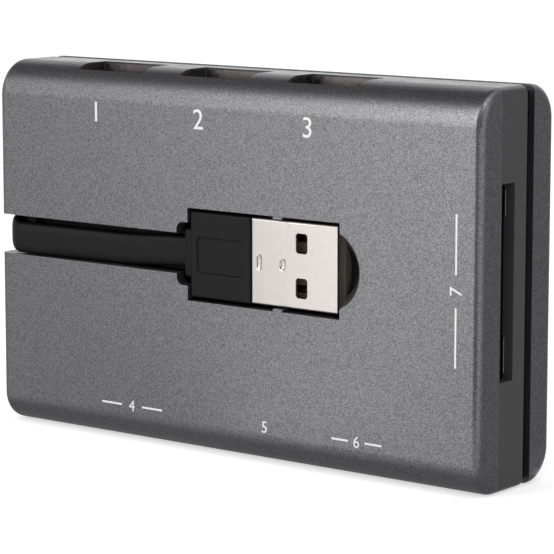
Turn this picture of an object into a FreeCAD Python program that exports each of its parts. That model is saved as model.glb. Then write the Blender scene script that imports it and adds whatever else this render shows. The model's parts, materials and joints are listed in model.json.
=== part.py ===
import FreeCAD, Part
import os
from math import atan2, cos, hypot, pi, sin, sqrt
from FreeCAD import Vector

# Desk hub with card reader, standing on its long lower side. Millimetres.
# X runs along the length, Y from the front face to the back, Z up; the origin is at the bottom centre.
# A depth is measured from the front face towards the back.

# Housing
LENGTH = 85.6
HEIGHT = 54.0
FRONT_DEPTH = 4.8        # front cover, face to seam
FRAME_DEPTH = 5.9        # smooth middle frame
GROOVE_WIDTH = 1.7       # dark groove between frame and back cover
BACK_DEPTH = 5.1
EDGE_LIP = 0.4           # flat strip between a rounded long edge and its seam
WALL = 1.7
END_ROUND = 1.2          # round along the rim of each end
GROOVE_SETBACK = 0.9
LAP = 1.0                # depth of the sleeves that locate the shells
LAP_WALL = 1.2
FIT = 0.1                # clearance between mating plastic pieces
MIN_ROUND = 0.2          # least inner round left by a thick wall
SAME = 1e-6              # two lengths closer than this are equal

# Plug and its pocket in the front face
TIP_FROM_END = 23.65     # plug tip to the right end
PARK_FROM_TOP = 25.65    # plug axis below the top side
SHELL_WIDTH = 12.15
SHELL_THICK = 4.5
SHELL_SHEET = 0.3
SHELL_EXPOSED = 14.7
SHELL_ROOT = 3.0         # length held in the overmould
SHELL_ROUND = 0.35
LATCH_LENGTH = 2.0       # latch holes in the shell
LATCH_WIDTH = 2.8
LATCH_FROM_TIP = 5.1
LATCH_SPACING = 6.2
LATCH_CORNER = 0.3       # corner cut off a latch hole
INSULATOR_THICK = 1.95
INSULATOR_SETBACK = 0.3
MOULD_LENGTH = 10.95
MOULD_WIDTH = 12.25
MOULD_THICK = 5.2
MOULD_BEVEL = 0.35
NECK_LENGTH = 1.5
NECK_WIDTH = 7.0
NECK_THICK = 4.0
PANEL_LENGTH = 8.0       # shallow panel in the face of the overmould
PANEL_WIDTH = 4.9
PANEL_DEPTH = 0.25
PANEL_CORNER = 0.5
RIB_COUNT = 8            # grip ribs on the sides of the overmould
RIB_PITCH = 0.6
RIB_WIDTH = 0.3
RIB_PROUD = 0.2
RIB_FROM_SHELL = 1.0     # last rib to the plug shell
PLUG_SINK = 0.4          # plug face below the front face
POCKET_GAP = 0.47
POCKET_END_GAP = 0.9     # beyond the plug tip
POCKET_START_GAP = 0.1
FLOOR_GAP = 0.1
NUB_LENGTH = 1.6         # nubs that grip the plug shell
NUB_CLEAR = 0.15         # nub to plug shell
NUB_FROM_TIP = 9.7
EAR_SIDE_GAP = 1.0       # widening of the channel round the neck
EAR_END_GAP = 0.6
EAR_ROUND = 1.1
SCOOP_RADIUS = 5.6       # finger scoop beyond the plug tip
SCOOP_REACH = 3.4
SCOOP_DEPTH = 3.2
TRAY_WALL = 1.0
TRAY_FLOOR = 0.8

# Flat lead
LEAD_WIDTH = 4.5
LEAD_THICK = 2.0
LEAD_BEVEL = 0.45
LEAD_SINK = 0.5          # lead below the front face at the bend
LEAD_SINK_AT_PLUG = 1.85
LEAD_SIDE_GAP = 0.65     # lead to channel wall at the plug
LEAD_REST_GAP = 0.1      # lead to lower channel wall before the bend
LEAD_TOP_GAP = 0.2       # lead to upper notch wall after the bend
LEAD_ROOT = 0.6          # length held in the neck
LEAD_INSIDE = 9.0        # end of the lead inside the left end
LEAD_END_GAP = 0.05      # bend inside the left end plane
LEAD_CLIMB = 14.0        # length that rises from the channel wall to the neck
BEND_RADIUS = 2.2
BEND_STEPS = 12
BEND_PAD = 1.5
NOTCH_GAP = 0.3
STOP_LENGTH = 2.5
STOP_WALL = 0.9
WIRE_COUNT = 4
WIRE_DIAMETER = 0.7
WIRE_PITCH = 0.9
WIRE_SIDES = 8
WIRE_REACH = 4.0

# Board and its screws
BOARD_GAP = 1.6          # tray to board
BOARD_THICK = 1.2
BOARD_EDGE_GAP = 0.4
POST_DIAMETER = 3.6
POST_GAP = 0.3           # post to the sleeve round it
SCREW_DIAMETER = 1.8
SCREW_DEPTH = 4.5
HEAD_DIAMETER = 3.4
HEAD_THICK = 1.2

# Ports on the top side
PORT_COUNT = 3
PORT_PITCH = 19.1
PORT_FROM_RIGHT = 27.4   # centre of the last port
PORT_OPENING = 12.4      # opening in the housing, along the length
PORT_LEAD = 0.2          # opening in front of the port and behind it
PORT_SIDE_GAP = 0.15     # room round the port under the housing wall
PORT_WIDTH = 13.1
PORT_THICK = 5.7
PORT_LENGTH = 14.0
PORT_SHEET = 0.3
PORT_TAB_REACH = 1.4
PORT_TAB_WIDTH = 3.0
PORT_TAB_FROM_MOUTH = 6.0
TONGUE_SIDE_GAP = 0.7
TONGUE_THICK = 1.84
TONGUE_GAP = 0.65
TONGUE_SETBACK = 0.8
TONGUE_ROOT = 3.6
CONTACT_OFFSETS = (-3.5, -1.0, 1.0, 3.5)
CONTACT_WIDTH = 1.0
CONTACT_THICK = 0.2
CONTACT_SETBACK = 1.0
CONTACT_FOOT = 1.2

# Card sockets
LARGE_CARD = (24.0, 2.1)
STICK_CARD = (21.5, 2.8)
MINI_CARD = (12.5, 1.2)
MICRO_CARD = (11.0, 1.0)
LARGE_SOCKET_LENGTH = 16.5
STICK_SOCKET_LENGTH = 13.0
MINI_SOCKET_LENGTH = 11.5
MICRO_SOCKET_LENGTH = 10.5
LARGE_CONTACTS = 9
STICK_CONTACTS = 10
MINI_CONTACTS = 10
MICRO_CONTACTS = 8
LARGE_FROM_BASE = 28.2
STICK_FROM_LEFT = 24.0
MICRO_FROM_RIGHT = 18.5
CARD_PLAY = 0.5          # sideways play of a card
CARD_LIFT = 0.2          # play over a card
SOCKET_RAIL = 1.0
SOCKET_FLOOR = 0.5
SOCKET_SHEET = 0.2
SOCKET_SETBACK = 0.2     # socket mouth inside the housing wall
SLOT_LEAD = 1.2          # slot wider than its card, on each side
SLOT_DROP = 0.3          # slot past the socket floor
COVER_BAY = 0.7          # share of the mouth where the sheet cover is cut back
COVER_BAY_DEPTH = 3.0
SPRING_WIDTH = 0.9
SPRING_LENGTH = 5.0
SPRING_RISE = 0.6
SPRING_FOOT = 1.0

# Chips and small parts on the back of the board
HUB_CHIP = (10.2, 5.3)
READER_CHIP = (7.0, 7.0)
CHIP_THICK = 1.4
CHIP_STAND = 0.1
CHIP_SPACING = 16.0
CHIP_FROM_BASE = 24.0
LEG_PITCH = 0.8
LEG_WIDTH = 0.35
LEG_REACH = 1.0
LEG_THICK = 0.2
CRYSTAL_LENGTH = 10.0
CRYSTAL_WIDTH = 3.8
CRYSTAL_THICK = 3.4
CRYSTAL_ROUND = 1.1
CRYSTAL_ABOVE_CHIPS = 9.0
CAPACITOR_COUNT = 5
CAPACITOR_PITCH = 4.5
CAPACITOR_SIZE = (2.0, 1.25, 1.2)
CAPACITOR_BELOW_CHIPS = 8.0

# Places worked out from the sizes above
DEPTH = FRONT_DEPTH + FRAME_DEPTH + GROOVE_WIDTH + BACK_DEPTH
LEFT = -LENGTH / 2
RIGHT = LENGTH / 2
GROOVE_FRONT = FRONT_DEPTH + FRAME_DEPTH
GROOVE_BACK = GROOVE_FRONT + GROOVE_WIDTH
SLEEVE = WALL + FIT
SLEEVE_INSIDE = SLEEVE + LAP_WALL

PARK = HEIGHT - PARK_FROM_TOP
TIP = RIGHT - TIP_FROM_END
MOULD_END = TIP - SHELL_EXPOSED
MOULD_START = MOULD_END - MOULD_LENGTH
NECK_START = MOULD_START - NECK_LENGTH
PLUG_MIDDLE = PLUG_SINK + MOULD_THICK / 2
POCKET_FLOOR = PLUG_SINK + MOULD_THICK + FLOOR_GAP
POCKET_START = MOULD_START - POCKET_START_GAP
POCKET_END = TIP + POCKET_END_GAP
POCKET_HALF = MOULD_WIDTH / 2 + POCKET_GAP
NUB_PROUD = POCKET_HALF - SHELL_WIDTH / 2 - NUB_CLEAR
EAR_START = NECK_START - EAR_END_GAP
EAR_HALF = NECK_WIDTH / 2 + EAR_SIDE_GAP
SCOOP_X = POCKET_END + SCOOP_REACH - SCOOP_RADIUS
SCOOP_SPHERE = (SCOOP_RADIUS ** 2 + SCOOP_DEPTH ** 2) / (2 * SCOOP_DEPTH)

CHANNEL_HALF = LEAD_WIDTH / 2 + LEAD_SIDE_GAP
BEND_X = LEFT + LEAD_END_GAP + LEAD_THICK / 2 + BEND_RADIUS
BEND_MIDDLE = LEAD_SINK + LEAD_THICK / 2 + BEND_RADIUS
NOSE_RADIUS = BEND_RADIUS - LEAD_THICK / 2 - FIT
CHANNEL_FLOOR = LEAD_SINK_AT_PLUG + LEAD_THICK + FLOOR_GAP
RETURN_MIDDLE = BEND_MIDDLE + BEND_RADIUS
NOTCH_DEPTH = RETURN_MIDDLE + LEAD_THICK / 2 + NOTCH_GAP
LEAD_END = LEFT + LEAD_INSIDE
LEAD_LIFT = 2 * LEAD_SIDE_GAP - LEAD_REST_GAP - LEAD_TOP_GAP
LEAD_BACK = PARK + LEAD_LIFT
LEAD_DROP = LEAD_SIDE_GAP - LEAD_REST_GAP

BOARD_FRONT = POCKET_FLOOR + TRAY_FLOOR + BOARD_GAP
BOARD_BACK = BOARD_FRONT + BOARD_THICK
BOARD_INSET = SLEEVE_INSIDE + BOARD_EDGE_GAP
POST_INSET = SLEEVE_INSIDE + POST_GAP + POST_DIAMETER / 2
POSTS = [(LEFT + POST_INSET, POST_INSET), (RIGHT - POST_INSET, HEIGHT - POST_INSET)]

PORT_FRONT = BOARD_FRONT - PORT_THICK
PORT_MOUTH = HEIGHT - WALL - FIT
PORT_CENTRES = [RIGHT - PORT_FROM_RIGHT - PORT_PITCH * i for i in reversed(range(PORT_COUNT))]
BEYOND = 1.0             # how far a cutter reaches past what it cuts
ALONG_X, ALONG_Y, ALONG_Z = Vector(1, 0, 0), Vector(0, 1, 0), Vector(0, 0, 1)


def y_at(depth):
    return depth - DEPTH / 2


def block(x0, x1, d0, d1, z0, z1):
    return Part.makeBox(x1 - x0, d1 - d0, z1 - z0, Vector(x0, y_at(d0), z0))


def rod(x, z, d0, d1, radius):
    return Part.makeCylinder(radius, d1 - d0, Vector(x, y_at(d0), z), ALONG_Y)


def fuse(shapes):
    return shapes[0].multiFuse(shapes[1:]).removeSplitter()


def edges_along(shape, axis):
    """Straight edges parallel to an axis."""
    return [e for e in shape.Edges
            if isinstance(e.Curve, Part.Line) and abs(abs(e.Curve.Direction.dot(axis)) - 1) < SAME]


def plate(x0, x1, d0, d1, z0, z1, radius):
    """Block whose corners are rounded as seen from the front."""
    solid = block(x0, x1, d0, d1, z0, z1)
    return solid.makeFillet(radius, edges_along(solid, ALONG_Y))


def clipped(shape, axis, size):
    """Solid with a small flat cut along each of its edges parallel to an axis."""
    return shape.makeChamfer(size, edges_along(shape, axis))


def tube_bar(x0, x1, middle, z, thick, width, radius):
    """Bar along X with rounded long edges, centred on a depth and a height."""
    solid = block(x0, x1, middle - thick / 2, middle + thick / 2, z - width / 2, z + width / 2)
    return solid.makeFillet(radius, edges_along(solid, ALONG_X))


def outline(x, inset):
    """Side profile of the housing: a rectangle with the four long edges rounded."""
    front = max(FRONT_DEPTH - EDGE_LIP - inset, MIN_ROUND)
    back = max(BACK_DEPTH - EDGE_LIP - inset, MIN_ROUND)
    y0, y1 = y_at(inset), y_at(DEPTH - inset)
    z0, z1 = inset, HEIGHT - inset
    edges = []
    corners = [(y0, z0, front, 1, 1), (y0, z1, front, 1, -1), (y1, z1, back, -1, -1), (y1, z0, back, -1, 1)]
    ends = []
    for y, z, r, sy, sz in corners:
        upright = Vector(x, y, z + sz * r)
        level = Vector(x, y + sy * r, z)
        middle = Vector(x, y + sy * r * (1 - sqrt(0.5)), z + sz * r * (1 - sqrt(0.5)))
        first, last = (level, upright) if sy * sz > 0 else (upright, level)
        edges.append(Part.Arc(first, middle, last).toShape())
        ends.append((first, last))
    for i in range(4):
        edges.insert(2 * i + 1, Part.LineSegment(ends[i][1], ends[(i + 1) % 4][0]).toShape())
    return Part.Wire(edges)


def envelope(inset):
    """Plain housing volume, set in from the outside all round."""
    reach = RIGHT - inset
    return Part.Face(outline(-reach, inset)).extrude(Vector(2 * reach, 0, 0))


def slab(d0, d1):
    return block(LEFT - BEYOND, RIGHT + BEYOND, d0, d1, -BEYOND, HEIGHT + BEYOND)


def band(outer, inner, d0, d1):
    """Ring between two insets over a range of depth."""
    return envelope(outer).cut(envelope(inner)).common(slab(d0, d1))


def housing():
    """Outer form: a rounded bar with a round along the rim of each end."""
    body = envelope(0)
    rims = [e for e in body.Edges if all(abs(abs(v.X) - RIGHT) < SAME for v in e.Vertexes)]
    return body.makeFillet(END_ROUND, rims)


def scoop_ball():
    return Part.makeSphere(SCOOP_SPHERE, Vector(SCOOP_X, y_at(SCOOP_DEPTH - SCOOP_SPHERE), PARK))


def recess(grow, back_channel, back_pocket):
    """Channel, ears and pocket as seen from the front, grown outwards and down to two depths."""
    half = CHANNEL_HALF + grow
    ear = EAR_HALF + grow
    pocket = POCKET_HALF + grow
    front = -BEYOND
    channel = block(LEFT - BEYOND, POCKET_START, front, back_channel, PARK - half, PARK + half)
    ears = plate(EAR_START - grow, MOULD_END, front, back_pocket, PARK - ear, PARK + ear, EAR_ROUND)
    bay = block(POCKET_START - grow, POCKET_END + grow, front, back_pocket, PARK - pocket, PARK + pocket)
    return [channel, ears, bay]


def nubs():
    """Nubs on the pocket's long edges, as thick as the cover's face."""
    x = TIP - NUB_FROM_TIP
    near, far = POCKET_HALF - NUB_PROUD, POCKET_HALF
    return [block(x - NUB_LENGTH / 2, x + NUB_LENGTH / 2, 0, WALL, PARK + low, PARK + high)
            for low, high in ((near, far), (-far, -near))]


def notch():
    """Way for the lead through the left end wall."""
    return block(LEFT - BEYOND, LEFT + SLEEVE_INSIDE + FIT, -BEYOND, NOTCH_DEPTH,
                 PARK - CHANNEL_HALF, PARK + CHANNEL_HALF)


def port_openings():
    """Openings in the housing wall and, under the wall, room for the ports themselves."""
    half = PORT_OPENING / 2
    room = PORT_WIDTH / 2 + PORT_SIDE_GAP
    cuts = []
    for x in PORT_CENTRES:
        cuts.append(block(x - half, x + half, PORT_FRONT - PORT_LEAD, BOARD_FRONT + PORT_LEAD,
                          PORT_MOUTH, HEIGHT + BEYOND))
        cuts.append(block(x - room, x + room, PORT_FRONT - PORT_SIDE_GAP, BOARD_FRONT + PORT_SIDE_GAP,
                          PORT_MOUTH - PORT_TAB_FROM_MOUTH + FIT, PORT_MOUTH + FIT))
    return cuts


class Socket:
    """A card socket on the front of the board, with its mouth at the right end or the lower side.

    Inside the socket, u runs inwards from the mouth, v across it and h up from the board.
    """

    def __init__(self, name, card, length, at_end, centre, contacts):
        self.name = name
        self.card_width, self.card_thick = card
        self.length = length
        self.at_end = at_end
        self.centre = centre
        self.contacts = contacts
        self.inside = self.card_width + CARD_PLAY
        self.outside = self.inside + 2 * SOCKET_RAIL
        self.rail_top = SOCKET_FLOOR + self.card_thick + CARD_LIFT
        self.top = self.rail_top + SOCKET_SHEET

    def place(self, u, v, h):
        depth = BOARD_FRONT - h
        if self.at_end:
            return Vector(RIGHT - WALL - SOCKET_SETBACK - u, y_at(depth), self.centre + v)
        return Vector(self.centre + v, y_at(depth), WALL + SOCKET_SETBACK + u)

    def box(self, u0, u1, v0, v1, h0, h1):
        a = self.place(u0, v0, h0)
        b = self.place(u1, v1, h1)
        low = Vector(min(a.x, b.x), min(a.y, b.y), min(a.z, b.z))
        return Part.makeBox(abs(a.x - b.x), abs(a.y - b.y), abs(a.z - b.z), low)

    def prism(self, profile, v0, v1):
        """Outline in u and h, drawn across from v0 to v1."""
        points = [self.place(u, v0, h) for u, h in profile]
        face = Part.Face(Part.makePolygon(points + points[:1]))
        return face.extrude(self.place(0, v1, 0) - self.place(0, v0, 0))

    def slot(self):
        """Opening in the housing wall; a thick card's slot runs out to the front seam."""
        half = self.card_width / 2 + SLOT_LEAD
        reach = WALL + SOCKET_SETBACK + BEYOND
        to_seam = BOARD_FRONT - FRONT_DEPTH
        top = to_seam if self.top + SLOT_LEAD > to_seam else self.top
        return self.box(-reach, 0, -half, half, SOCKET_FLOOR - SLOT_DROP, top)

    def clearance(self):
        half = self.outside / 2 + SOCKET_SHEET + FIT
        return self.box(-FIT, self.length, -half, half, -FIT, self.top + FIT)

    def spring_places(self):
        pitch = self.inside / (self.contacts + 1)
        return [pitch * (i + 1) - self.inside / 2 for i in range(self.contacts)]

    def springs(self):
        """Sprung strips that come through the back wall and rise towards the card."""
        end = self.length
        tip = end - SOCKET_RAIL - SPRING_LENGTH
        low, high = SOCKET_FLOOR, SOCKET_FLOOR + SPRING_RISE
        t = CONTACT_THICK
        profile = [(end + SPRING_FOOT, 0), (end + SPRING_FOOT, t), (end + t, t), (end + t, low + t),
                   (end - SOCKET_RAIL, low + t), (tip + t, high + t), (tip, high), (end - SOCKET_RAIL, low),
                   (end, low), (end, 0)]
        half = SPRING_WIDTH / 2
        return Part.makeCompound([self.prism(profile, v - half, v + half) for v in self.spring_places()])

    def base(self):
        half_out, half_in = self.outside / 2, self.inside / 2
        body = self.box(0, self.length, -half_out, half_out, 0, self.rail_top)
        hollow = self.box(-BEYOND, self.length - SOCKET_RAIL, -half_in, half_in, SOCKET_FLOOR, self.top)
        return body.cut(hollow).cut(self.springs())

    def cover(self):
        """Folded sheet over the base, cut back in the middle of its mouth."""
        half_out = self.outside / 2
        half = half_out + SOCKET_SHEET
        bay = COVER_BAY * self.inside / 2
        sheet = self.box(0, self.length, -half, half, 0, self.top)
        under = self.box(-BEYOND, self.length + BEYOND, -half_out, half_out, -BEYOND, self.rail_top)
        mouth = self.box(-BEYOND, COVER_BAY_DEPTH, -bay, bay, 0, self.top + BEYOND)
        return sheet.cut([under, mouth])


def card_sockets():
    large = Socket("large", LARGE_CARD, LARGE_SOCKET_LENGTH, True, LARGE_FROM_BASE, LARGE_CONTACTS)
    stick = Socket("stick", STICK_CARD, STICK_SOCKET_LENGTH, False, LEFT + STICK_FROM_LEFT, STICK_CONTACTS)
    micro = Socket("micro", MICRO_CARD, MICRO_SOCKET_LENGTH, False, RIGHT - MICRO_FROM_RIGHT, MICRO_CONTACTS)
    between = (stick.centre + stick.outside / 2 + micro.centre - micro.outside / 2) / 2
    mini = Socket("mini", MINI_CARD, MINI_SOCKET_LENGTH, False, between, MINI_CONTACTS)
    return [large, stick, mini, micro]


def front_cover(body, sockets):
    shell = body.common(slab(0, FRONT_DEPTH)).cut(envelope(WALL))
    posts = [rod(x, z, WALL, BOARD_FRONT, POST_DIAMETER / 2) for x, z in POSTS]
    shell = fuse([shell] + posts)
    holes = [rod(x, z, BOARD_FRONT - SCREW_DEPTH - FIT, BOARD_FRONT + BEYOND, SCREW_DIAMETER / 2)
             for x, z in POSTS]
    opening = fuse(recess(0, WALL + FIT, WALL + FIT)).cut(nubs())
    slots = [s.slot() for s in sockets]
    return shell.cut(holes + port_openings() + slots + [opening, scoop_ball(), notch()])


def mid_frame(body, sockets):
    ring = body.common(slab(FRONT_DEPTH, GROOVE_FRONT)).cut(envelope(WALL))
    shelf = band(WALL, SLEEVE_INSIDE, FRONT_DEPTH, FRONT_DEPTH + LAP)
    sleeve = band(SLEEVE, SLEEVE_INSIDE, FRONT_DEPTH - LAP, FRONT_DEPTH)
    frame = fuse([ring, shelf, sleeve])
    ways = [s.slot() for s in sockets] + [s.clearance() for s in sockets]
    return frame.cut(ways + port_openings() + [notch()])


def groove_ring():
    ring = band(GROOVE_SETBACK, SLEEVE_INSIDE, GROOVE_FRONT, GROOVE_BACK)
    sleeve = band(SLEEVE, SLEEVE_INSIDE, GROOVE_FRONT - LAP, GROOVE_BACK + LAP)
    return fuse([ring, sleeve])


def back_cover(body):
    return body.common(slab(GROOVE_BACK, DEPTH)).cut(envelope(WALL))


def lead_tray():
    """Black moulding behind the cut-out: channel floor with a nose for the bend, pocket and scoop."""
    hollow = fuse(recess(0, CHANNEL_FLOOR, POCKET_FLOOR))
    shell = fuse(recess(TRAY_WALL, CHANNEL_FLOOR + TRAY_FLOOR, POCKET_FLOOR + TRAY_FLOOR))
    half = SCOOP_RADIUS
    bowl = plate(POCKET_END, SCOOP_X + SCOOP_RADIUS, WALL, SCOOP_DEPTH + TRAY_FLOOR,
                 PARK - half, PARK + half, TRAY_WALL)
    behind_cover = block(LEFT + SLEEVE_INSIDE + FIT, RIGHT, WALL, BOARD_FRONT, 0, HEIGHT)
    trough = fuse([shell.common(behind_cover), bowl]).cut([hollow, scoop_ball()])
    half = CHANNEL_HALF - FIT
    nose = Part.makeCylinder(NOSE_RADIUS, 2 * half, Vector(BEND_X, y_at(BEND_MIDDLE), PARK - half))
    pad = block(BEND_X, BEND_X + BEND_PAD, BEND_MIDDLE - NOSE_RADIUS, BEND_MIDDLE + NOSE_RADIUS,
                PARK - half, PARK + half)
    return fuse([trough, nose, pad])


def settle(shape):
    """The lead lies on the lower wall of its channel, so all of it up to the climb hangs below the plug."""
    shape.translate(ALONG_Z * -LEAD_DROP)
    return shape


def bend_point(angle, out, across, lift):
    """Point of the bend: angle from the back run to the front one, out from the lead's middle, across it."""
    radius = BEND_RADIUS + out
    return Vector(BEND_X - radius * sin(angle), y_at(BEND_MIDDLE + radius * cos(angle)), PARK + lift + across)


def lead():
    """Flat lead: run to the board, turn round the nose that drops to the channel, run, climb to the neck."""
    rise = atan2(LEAD_SINK_AT_PLUG - LEAD_SINK, NECK_START - BEND_X)
    thick, wide = LEAD_THICK / 2, LEAD_WIDTH / 2
    thin, narrow = thick - LEAD_BEVEL, wide - LEAD_BEVEL
    corners = [(thick, narrow), (thin, wide), (-thin, wide), (-thick, narrow),
               (-thick, -narrow), (-thin, -wide), (thin, -wide), (thick, -narrow)]
    sections, middles = [], []
    for i in range(BEND_STEPS + 1):
        turned = i / BEND_STEPS
        angle = turned * (pi + rise)
        lift = LEAD_LIFT * (1 if turned < 0.5 else sin(pi * turned) ** 2)
        points = [bend_point(angle, out, across, lift) for out, across in corners]
        sections.append(Part.makePolygon(points + points[:1]))
        middles.append(bend_point(angle, 0, 0, lift))
    turn = Part.makeLoft(sections, True, True)
    back_run = LEAD_END - BEND_X
    front_run = (NECK_START + LEAD_ROOT - BEND_X) / cos(rise)
    onward = Vector(cos(rise), sin(rise), 0)
    lying = onward * (front_run - LEAD_CLIMB)
    back = Part.Face(sections[0]).extrude(Vector(back_run, 0, 0))
    front = Part.Face(sections[-1]).extrude(lying)
    foot, top = sections[-1].copy(), sections[-1].copy()
    foot.translate(lying)
    top.translate(onward * front_run)
    climb = Part.makeLoft([settle(foot), top], True, True)
    bend = sum((b - a).Length for a, b in zip(middles, middles[1:]))
    print("lead length %.1f mm" % (back_run + bend + lying.Length + hypot(LEAD_CLIMB, LEAD_DROP)))
    return fuse([settle(fuse([back, turn, front])), climb])


def lead_stop(lead_solid):
    """Moulded block on the end of the lead that keeps it from being pulled out."""
    half = LEAD_WIDTH / 2 + STOP_WALL
    front = CHANNEL_FLOOR + TRAY_FLOOR + FIT
    body = block(LEAD_END - STOP_LENGTH, LEAD_END, front, BOARD_FRONT, LEAD_BACK - half, LEAD_BACK + half)
    return settle(body).cut(lead_solid)


def lead_wires(lead_solid, board):
    """Wires from the end of the lead down to the board, drawn with few sides."""
    drop = BOARD_FRONT - RETURN_MIDDLE
    along = Vector(WIRE_REACH, drop, 0).normalize()
    aside = Vector(-along.y, along.x, 0)
    overlap = along * WIRE_DIAMETER
    wires = []
    for i in range(WIRE_COUNT):
        z = LEAD_BACK + (i - (WIRE_COUNT - 1) / 2) * WIRE_PITCH
        middle = Vector(LEAD_END, y_at(RETURN_MIDDLE), z) - overlap
        points = []
        for side in range(WIRE_SIDES + 1):
            turn = 2 * pi * side / WIRE_SIDES
            points.append(middle + (aside * cos(turn) + ALONG_Z * sin(turn)) * (WIRE_DIAMETER / 2))
        run = Vector(WIRE_REACH, drop, 0) + overlap * 2
        wire = settle(Part.Face(Part.makePolygon(points)).extrude(run))
        wires += wire.cut([lead_solid, board]).Solids[:1]
    return Part.makeCompound(wires)


def main_board():
    inset = BOARD_INSET
    body = block(LEFT + inset, RIGHT - inset, BOARD_FRONT, BOARD_BACK, inset, HEIGHT - inset)
    return body.cut([rod(x, z, 0, DEPTH, SCREW_DIAMETER / 2 + FIT) for x, z in POSTS])


def board_screws():
    screws = []
    for x, z in POSTS:
        shank = rod(x, z, BOARD_FRONT - SCREW_DEPTH, BOARD_BACK, SCREW_DIAMETER / 2)
        head = rod(x, z, BOARD_BACK, BOARD_BACK + HEAD_THICK, HEAD_DIAMETER / 2)
        screws.append(fuse([shank, head]))
    return Part.makeCompound(screws)


def port_shell(x):
    half = PORT_WIDTH / 2
    bottom = PORT_MOUTH - PORT_LENGTH
    outside = block(x - half, x + half, PORT_FRONT, BOARD_FRONT, bottom, PORT_MOUTH)
    t = PORT_SHEET
    inside = block(x - half + t, x + half - t, PORT_FRONT + t, BOARD_FRONT - t,
                   bottom - BEYOND, PORT_MOUTH + BEYOND)
    top = PORT_MOUTH - PORT_TAB_FROM_MOUTH
    tab = half + PORT_TAB_REACH
    tabs = block(x - tab, x + tab, BOARD_FRONT - t, BOARD_FRONT, top - PORT_TAB_WIDTH, top)
    return fuse([outside, tabs]).cut(inside)


def port_contacts(x):
    """Flat contacts on the tongue, with feet that stand on the board."""
    face = PORT_FRONT + PORT_SHEET + TONGUE_GAP + TONGUE_THICK
    bottom = PORT_MOUTH - PORT_LENGTH - CONTACT_FOOT
    top = PORT_MOUTH - TONGUE_SETBACK - CONTACT_SETBACK
    half = CONTACT_WIDTH / 2
    contacts = []
    for offset in CONTACT_OFFSETS:
        x0, x1 = x + offset - half, x + offset + half
        strip = block(x0, x1, face, face + CONTACT_THICK, bottom, top)
        foot = block(x0, x1, face, BOARD_FRONT, bottom, bottom + CONTACT_FOOT - 2 * FIT)
        contacts.append(fuse([strip, foot]))
    return Part.makeCompound(contacts)


def port_tongue(x, contacts):
    bottom = PORT_MOUTH - PORT_LENGTH
    half = PORT_WIDTH / 2 - PORT_SHEET
    front = PORT_FRONT + PORT_SHEET
    root = block(x - half, x + half, front, BOARD_FRONT - PORT_SHEET, bottom, bottom + TONGUE_ROOT)
    half -= TONGUE_SIDE_GAP
    tongue = block(x - half, x + half, front + TONGUE_GAP, front + TONGUE_GAP + TONGUE_THICK,
                   bottom, PORT_MOUTH - TONGUE_SETBACK)
    return fuse([root, tongue]).cut(contacts)


def plug_shell_bar(grow):
    """Bar of the plug shell's outside, or of its inside with a negative growth."""
    return tube_bar(MOULD_END - SHELL_ROOT, TIP, PLUG_MIDDLE, PARK,
                    SHELL_THICK + 2 * grow, SHELL_WIDTH + 2 * grow, SHELL_ROUND + grow)


def plug_shell():
    """Drawn tube with two latch holes on its front and two on its back."""
    front = PLUG_MIDDLE - SHELL_THICK / 2
    back = PLUG_MIDDLE + SHELL_THICK / 2
    latch_x = TIP - LATCH_FROM_TIP
    half = LATCH_WIDTH / 2
    holes = []
    for z in (PARK - LATCH_SPACING / 2, PARK + LATCH_SPACING / 2):
        hole = block(latch_x - LATCH_LENGTH, latch_x, front - BEYOND, back + BEYOND, z - half, z + half)
        holes.append(clipped(hole, ALONG_Y, LATCH_CORNER))
    return plug_shell_bar(0).cut([plug_shell_bar(-SHELL_SHEET)] + holes)


def plug_insulator():
    """Fills the root of the shell and carries the contacts on a half-thick tongue."""
    inside = plug_shell_bar(-SHELL_SHEET)
    split = PLUG_MIDDLE + SHELL_THICK / 2 - SHELL_SHEET - INSULATOR_THICK
    above = block(MOULD_END, TIP + BEYOND, 0, split, 0, HEIGHT)
    end = block(TIP - INSULATOR_SETBACK, TIP + BEYOND, 0, DEPTH, 0, HEIGHT)
    return inside.cut([above, end])


def plug_contacts():
    split = PLUG_MIDDLE + SHELL_THICK / 2 - SHELL_SHEET - INSULATOR_THICK
    half = CONTACT_WIDTH / 2
    end = TIP - INSULATOR_SETBACK - CONTACT_SETBACK
    places = [PARK + offset for offset in CONTACT_OFFSETS]
    return Part.makeCompound([block(MOULD_END, end, split - CONTACT_THICK, split, z - half, z + half)
                              for z in places])


def plug_overmould(lead_solid):
    """Moulded body with a stepped neck, grip ribs on its sides and a shallow panel in its face."""
    d0, d1 = PLUG_SINK, PLUG_SINK + MOULD_THICK
    half = MOULD_WIDTH / 2
    body = block(MOULD_START, MOULD_END, d0, d1, PARK - half, PARK + half)
    body = body.makeChamfer(MOULD_BEVEL, body.Edges)
    neck = block(NECK_START, MOULD_START + MOULD_BEVEL,
                 PLUG_MIDDLE - NECK_THICK / 2, PLUG_MIDDLE + NECK_THICK / 2,
                 PARK - NECK_WIDTH / 2, PARK + NECK_WIDTH / 2)
    neck = clipped(neck, ALONG_X, MOULD_BEVEL)
    rib_half = MOULD_THICK / 2 - MOULD_BEVEL - FIT
    ribs = []
    for i in range(RIB_COUNT):
        x = MOULD_END - RIB_FROM_SHELL - i * RIB_PITCH
        ribs.append(block(x - RIB_WIDTH / 2, x + RIB_WIDTH / 2,
                          PLUG_MIDDLE - rib_half, PLUG_MIDDLE + rib_half,
                          PARK - half - RIB_PROUD, PARK + half + RIB_PROUD))
    middle = (MOULD_START + MOULD_END) / 2
    panel = block(middle - PANEL_LENGTH / 2, middle + PANEL_LENGTH / 2, d0 - BEYOND, d0 + PANEL_DEPTH,
                  PARK - PANEL_WIDTH / 2, PARK + PANEL_WIDTH / 2)
    panel = clipped(panel, ALONG_Y, PANEL_CORNER)
    return fuse([body, neck] + ribs).cut([panel, plug_shell_bar(0), lead_solid])


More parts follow.
